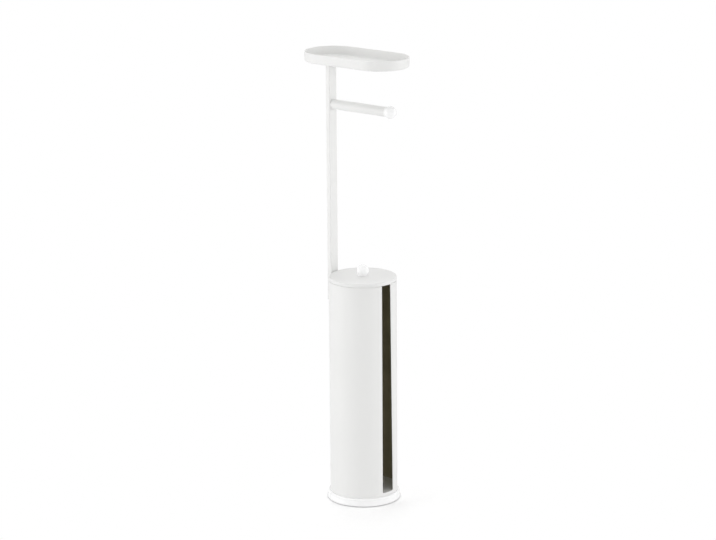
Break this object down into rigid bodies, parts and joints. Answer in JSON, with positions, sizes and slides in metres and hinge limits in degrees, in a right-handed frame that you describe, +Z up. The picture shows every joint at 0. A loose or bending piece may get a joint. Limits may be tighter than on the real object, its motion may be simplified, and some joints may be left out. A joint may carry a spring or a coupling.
{
  "type": "toilet paper holder with shelf",
  "caption": "Free-standing toilet paper holder: slotted round canister with lift-off lid on a weighted base, flat post with a roll arm and an oval shelf tray.",
  "frame": {"origin": "centre of the underside of the foot pad, on the floor, on the canister's axis", "axes": "+Z up, +X from the post towards the free end of the roll arm and along the tray, +Y to the left of someone who looks along +X"},
  "size_m": [0.235, 0.15, 0.925],
  "materials": {
    "white_coat": "satin white powder coat on sheet steel and steel tube",
    "knob_white": "moulded white plastic, semi-gloss",
    "white_plastic": "moulded white plastic, matt",
    "zinc_plate": "bright zinc-plated steel",
    "ballast_iron": "dark primed cast disc",
    "foam": "dense black foam, matt"
  },
  "bodies": {
    "stand": {"base_pad": "foam", "base_ballast": "ballast_iron", "base_sleeves": "zinc_plate", "base_shell": "white_coat", "base_screws": "zinc_plate", "base_nuts": "zinc_plate", "canister_floor": "white_coat", "canister": "white_coat", "post_spacers": "white_plastic", "post_washers": "white_plastic", "post_screws": "zinc_plate", "post_rivet_nuts": "zinc_plate", "post": "white_coat", "post_plug": "white_plastic", "tray_bracket": "white_coat", "tray": "white_coat", "tray_screws": "zinc_plate", "tray_nuts": "zinc_plate", "arm_tube": "white_coat", "arm_inserts": "zinc_plate", "arm_screw": "zinc_plate", "arm_stud": "zinc_plate", "arm_knob": "knob_white"},
    "lid": {"lid": "white_coat", "lid_washer": "zinc_plate", "lid_screw": "zinc_plate", "lid_knob": "knob_white"}
  },
  "joints": [
    {"name": "lid_lift", "type": "slide", "parent": "stand", "child": "lid", "axis": [0, 0, 1], "range_m": [0, 0.15]}
  ]
}
